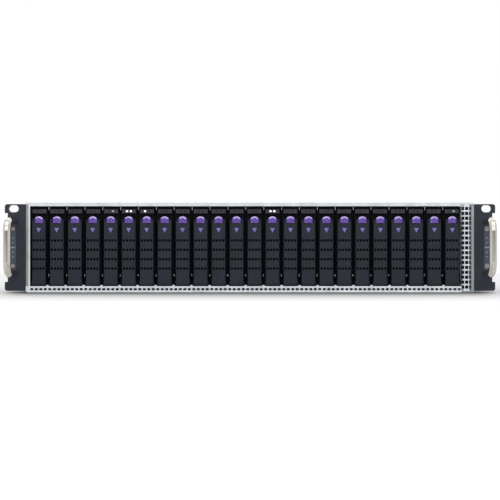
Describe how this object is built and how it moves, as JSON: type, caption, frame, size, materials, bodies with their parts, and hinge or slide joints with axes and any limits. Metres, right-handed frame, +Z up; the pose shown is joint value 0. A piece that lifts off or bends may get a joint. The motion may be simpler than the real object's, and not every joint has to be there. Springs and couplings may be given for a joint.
{
  "type": "rackmount barebone server",
  "caption": "Two-unit rack server chassis with a row of hot-swap drive carriers, rack ears with bow handles, fan wall, mainboard and plug-in power supplies.",
  "frame": {"origin": "middle of the bounding box, on the underside", "axes": "+X to the right seen from the front, the front faces -Y, +Z up"},
  "size_m": [0.4826, 0.706, 0.088],
  "materials": {
    "galvanised_steel": "satin zinc",
    "port_metal": "bright",
    "ear_paint": "dark satin",
    "handle_metal": "satin",
    "strip_plastic": "matte",
    "circuit_board": "solder mask",
    "black_plastic": "matte",
    "fin_aluminium": "plain",
    "purple_plastic": "glossy",
    "lever_plastic": "fine grain",
    "carrier_plastic": "fine grain"
  },
  "bodies": {
    "chassis": {"backplane": "circuit_board", "board_connectors": "black_plastic", "chassis_base": "galvanised_steel", "control_strips": "strip_plastic", "cpu_heatsinks": "fin_aluminium", "drive_cage": "galvanised_steel", "fan_bracket": "galvanised_steel", "fan_frames": "black_plastic", "front_cover": "galvanised_steel", "front_vent": "galvanised_steel", "handle_left": "handle_metal", "handle_right": "handle_metal", "mainboard": "circuit_board", "memory_slots": "black_plastic", "rack_ear_left": "ear_paint", "rack_ear_right": "ear_paint", "rear_panel": "galvanised_steel", "rear_ports": "port_metal", "screws": "port_metal", "slot_covers": "galvanised_steel"},
    "rear_cover": {"rear_cover": "galvanised_steel"},
    "psu_1": {"psu_1": "galvanised_steel"},
    "psu_2": {"psu_2": "galvanised_steel"},
    "psu_1_latch": {"psu_1_latch": "purple_plastic"},
    "psu_2_latch": {"psu_2_latch": "purple_plastic"},
    "power_button": {"power_button": "strip_plastic"},
    "id_button": {"id_button": "strip_plastic"},
    "fan_rotor_1": {"fan_rotor_1": "black_plastic"},
    "fan_rotor_2": {"fan_rotor_2": "black_plastic"},
    "fan_rotor_3": {"fan_rotor_3": "black_plastic"},
    "lever_01": {"lever_01": "lever_plastic"},
    "release_button_01": {"release_button_01": "purple_plastic"},
    "lever_02": {"lever_02": "lever_plastic"},
    "release_button_02": {"release_button_02": "purple_plastic"},
    "lever_03": {"lever_03": "lever_plastic"},
    "release_button_03": {"release_button_03": "purple_plastic"},
    "carrier_01": {"carrier_01": "carrier_plastic"},
    "carrier_02": {"carrier_02": "carrier_plastic"},
    "carrier_03": {"carrier_03": "carrier_plastic"},
    "carrier_04": {"carrier_04": "carrier_plastic"},
    "carrier_05": {"carrier_05": "carrier_plastic"},
    "carrier_06": {"carrier_06": "carrier_plastic"},
    "carrier_07": {"carrier_07": "carrier_plastic"},
    "carrier_08": {"carrier_08": "carrier_plastic"},
    "carrier_09": {"carrier_09": "carrier_plastic"},
    "carrier_10": {"carrier_10": "carrier_plastic"},
    "carrier_11": {"carrier_11": "carrier_plastic"},
    "carrier_12": {"carrier_12": "carrier_plastic"},
    "carrier_13": {"carrier_13": "carrier_plastic"},
    "carrier_14": {"carrier_14": "carrier_plastic"},
    "carrier_15": {"carrier_15": "carrier_plastic"},
    "carrier_16": {"carrier_16": "carrier_plastic"},
    "carrier_17": {"carrier_17": "carrier_plastic"},
    "carrier_18": {"carrier_18": "carrier_plastic"},
    "carrier_19": {"carrier_19": "carrier_plastic"},
    "carrier_20": {"carrier_20": "carrier_plastic"},
    "carrier_21": {"carrier_21": "carrier_plastic"},
    "carrier_22": {"carrier_22": "carrier_plastic"},
    "carrier_23": {"carrier_23": "carrier_plastic"},
    "carrier_24": {"carrier_24": "carrier_plastic"}
  },
  "joints": [
    {"name": "rear_cover_lift", "type": "slide", "parent": "chassis", "child": "rear_cover", "axis": [0, 0, 1], "range_m": [0, 0.15]},
    {"name": "psu_1_slide", "type": "slide", "parent": "chassis", "child": "psu_1", "axis": [0, 1, 0], "range_m": [0, 0.19]},
    {"name": "psu_2_slide", "type": "slide", "parent": "chassis", "child": "psu_2", "axis": [0, 1, 0], "range_m": [0, 0.19]},
    {"name": "psu_1_latch_squeeze", "type": "slide", "parent": "psu_1", "child": "psu_1_latch", "axis": [-1, 0, 0], "range_m": [0, 0.003], "stiffness_N_per_m": 600},
    {"name": "psu_2_latch_squeeze", "type": "slide", "parent": "psu_2", "child": "psu_2_latch", "axis": [-1, 0, 0], "range_m": [0, 0.003], "stiffness_N_per_m": 600},
    {"name": "lever_01_swing", "type": "hinge", "parent": "carrier_01", "child": "lever_01", "pos_m": [-0.20747, -0.314, 0.0094], "axis": [1, 0, 0], "range_deg": [0, 55]},
    {"name": "release_button_01_press", "type": "slide", "parent": "lever_01", "child": "release_button_01", "axis": [0, 1, 0], "range_m": [0, 0.0025], "stiffness_N_per_m": 800},
    {"name": "lever_02_swing", "type": "hinge", "parent": "carrier_02", "child": "lever_02", "pos_m": [-0.18981, -0.314, 0.0094], "axis": [1, 0, 0], "range_deg": [0, 55]},
    {"name": "release_button_02_press", "type": "slide", "parent": "lever_02", "child": "release_button_02", "axis": [0, 1, 0], "range_m": [0, 0.0025], "stiffness_N_per_m": 800},
    {"name": "lever_03_swing", "type": "hinge", "parent": "carrier_03", "child": "lever_03", "pos_m": [-0.17215, -0.314, 0.0094], "axis": [1, 0, 0], "range_deg": [0, 55]},
    {"name": "release_button_03_press", "type": "slide", "parent": "lever_03", "child": "release_button_03", "axis": [0, 1, 0], "range_m": [0, 0.0025], "stiffness_N_per_m": 800},
    {"name": "power_button_press", "type": "slide", "parent": "chassis", "child": "power_button", "axis": [0, 1, 0], "range_m": [0, 0.0012], "stiffness_N_per_m": 800},
    {"name": "id_button_press", "type": "slide", "parent": "chassis", "child": "id_button", "axis": [0, 1, 0], "range_m": [0, 0.0012], "stiffness_N_per_m": 800},
    {"name": "fan_1_spin", "type": "hinge", "parent": "chassis", "child": "fan_rotor_1", "pos_m": [-0.1062, -0.1194, 0.0412], "axis": [0, 1, 0], "continuous": true},
    {"name": "fan_2_spin", "type": "hinge", "parent": "chassis", "child": "fan_rotor_2", "pos_m": [-0.0142, -0.1194, 0.0412], "axis": [0, 1, 0], "continuous": true},
    {"name": "fan_3_spin", "type": "hinge", "parent": "chassis", "child": "fan_rotor_3", "pos_m": [0.0778, -0.1194, 0.0412], "axis": [0, 1, 0], "continuous": true},
    {"name": "carrier_01_slide", "type": "slide", "parent": "chassis", "child": "carrier_01", "axis": [0, -1, 0], "range_m": [0, 0.14]},
    {"name": "carrier_02_slide", "type": "slide", "parent": "chassis", "child": "carrier_02", "axis": [0, -1, 0], "range_m": [0, 0.14]},
    {"name": "carrier_03_slide", "type": "slide", "parent": "chassis", "child": "carrier_03", "axis": [0, -1, 0], "range_m": [0, 0.14]},
    {"name": "carrier_04_slide", "type": "slide", "parent": "chassis", "child": "carrier_04", "axis": [0, -1, 0], "range_m": [0, 0.14]},
    {"name": "carrier_05_slide", "type": "slide", "parent": "chassis", "child": "carrier_05", "axis": [0, -1, 0], "range_m": [0, 0.14]},
    {"name": "carrier_06_slide", "type": "slide", "parent": "chassis", "child": "carrier_06", "axis": [0, -1, 0], "range_m": [0, 0.14]},
    {"name": "carrier_07_slide", "type": "slide", "parent": "chassis", "child": "carrier_07", "axis": [0, -1, 0], "range_m": [0, 0.14]},
    {"name": "carrier_08_slide", "type": "slide", "parent": "chassis", "child": "carrier_08", "axis": [0, -1, 0], "range_m": [0, 0.14]},
    {"name": "carrier_09_slide", "type": "slide", "parent": "chassis", "child": "carrier_09", "axis": [0, -1, 0], "range_m": [0, 0.14]},
    {"name": "carrier_10_slide", "type": "slide", "parent": "chassis", "child": "carrier_10", "axis": [0, -1, 0], "range_m": [0, 0.14]},
    {"name": "carrier_11_slide", "type": "slide", "parent": "chassis", "child": "carrier_11", "axis": [0, -1, 0], "range_m": [0, 0.14]},
    {"name": "carrier_12_slide", "type": "slide", "parent": "chassis", "child": "carrier_12", "axis": [0, -1, 0], "range_m": [0, 0.14]},
    {"name": "carrier_13_slide", "type": "slide", "parent": "chassis", "child": "carrier_13", "axis": [0, -1, 0], "range_m": [0, 0.14]},
    {"name": "carrier_14_slide", "type": "slide", "parent": "chassis", "child": "carrier_14", "axis": [0, -1, 0], "range_m": [0, 0.14]},
    {"name": "carrier_15_slide", "type": "slide", "parent": "chassis", "child": "carrier_15", "axis": [0, -1, 0], "range_m": [0, 0.14]},
    {"name": "carrier_16_slide", "type": "slide", "parent": "chassis", "child": "carrier_16", "axis": [0, -1, 0], "range_m": [0, 0.14]},
    {"name": "carrier_17_slide", "type": "slide", "parent": "chassis", "child": "carrier_17", "axis": [0, -1, 0], "range_m": [0, 0.14]},
    {"name": "carrier_18_slide", "type": "slide", "parent": "chassis", "child": "carrier_18", "axis": [0, -1, 0], "range_m": [0, 0.14]},
    {"name": "carrier_19_slide", "type": "slide", "parent": "chassis", "child": "carrier_19", "axis": [0, -1, 0], "range_m": [0, 0.14]},
    {"name": "carrier_20_slide", "type": "slide", "parent": "chassis", "child": "carrier_20", "axis": [0, -1, 0], "range_m": [0, 0.14]},
    {"name": "carrier_21_slide", "type": "slide", "parent": "chassis", "child": "carrier_21", "axis": [0, -1, 0], "range_m": [0, 0.14]},
    {"name": "carrier_22_slide", "type": "slide", "parent": "chassis", "child": "carrier_22", "axis": [0, -1, 0], "range_m": [0, 0.14]},
    {"name": "carrier_23_slide", "type": "slide", "parent": "chassis", "child": "carrier_23", "axis": [0, -1, 0], "range_m": [0, 0.14]},
    {"name": "carrier_24_slide", "type": "slide", "parent": "chassis", "child": "carrier_24", "axis": [0, -1, 0], "range_m": [0, 0.14]}
  ]
}
